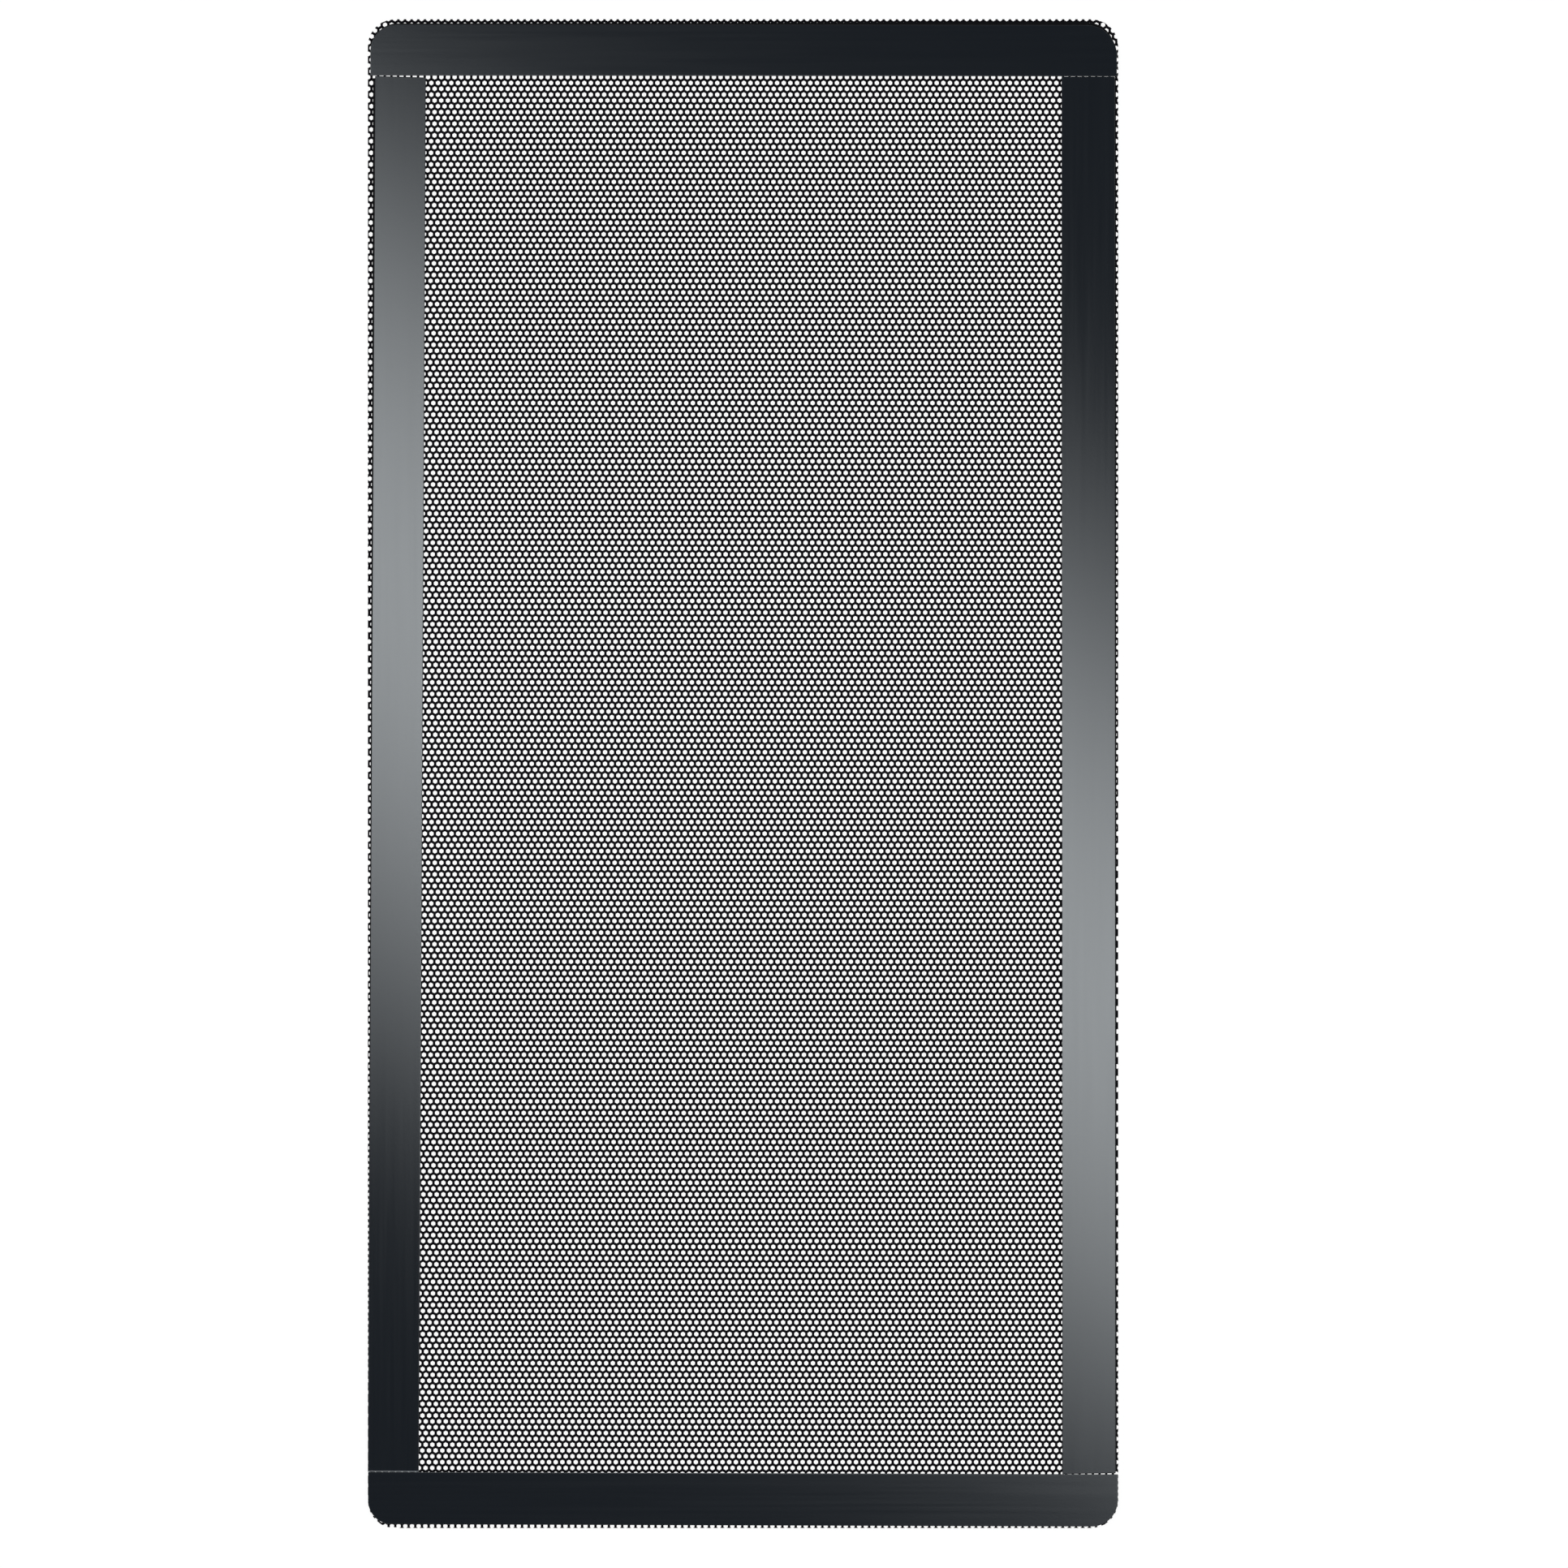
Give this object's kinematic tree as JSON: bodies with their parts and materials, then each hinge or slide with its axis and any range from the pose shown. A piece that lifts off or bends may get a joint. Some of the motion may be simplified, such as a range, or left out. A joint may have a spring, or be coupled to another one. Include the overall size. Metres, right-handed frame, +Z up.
{
  "type": "fan dust filter",
  "caption": "Flat perforated mesh dust filter for a pair of case fans, framed by flexible magnet strips that cling to a steel grille.",
  "frame": {"origin": "middle of the mesh sheet's underside, which the filter lies on", "axes": "+X across the filter, +Y along it towards the top strip, +Z up out of the strips' magnet faces"},
  "size_m": [0.1194, 0.24, 0.0016],
  "materials": {
    "pvc_mesh": "calendered soft PVC sheet, punched with round holes, dull black",
    "magnet_rubber": "extruded ferrite-filled rubber strip with a smooth satin face, blue-black",
    "adhesive_film": "thin black bonding film, dull"
  },
  "bodies": {
    "root": {"mesh_sheet": "pvc_mesh", "magnet_strip_top": "magnet_rubber", "magnet_strip_bottom": "magnet_rubber", "magnet_strip_left": "magnet_rubber", "magnet_strip_right": "magnet_rubber", "adhesive_film_top": "adhesive_film", "adhesive_film_bottom": "adhesive_film", "adhesive_film_left": "adhesive_film", "adhesive_film_right": "adhesive_film"}
  },
  "joints": []
}
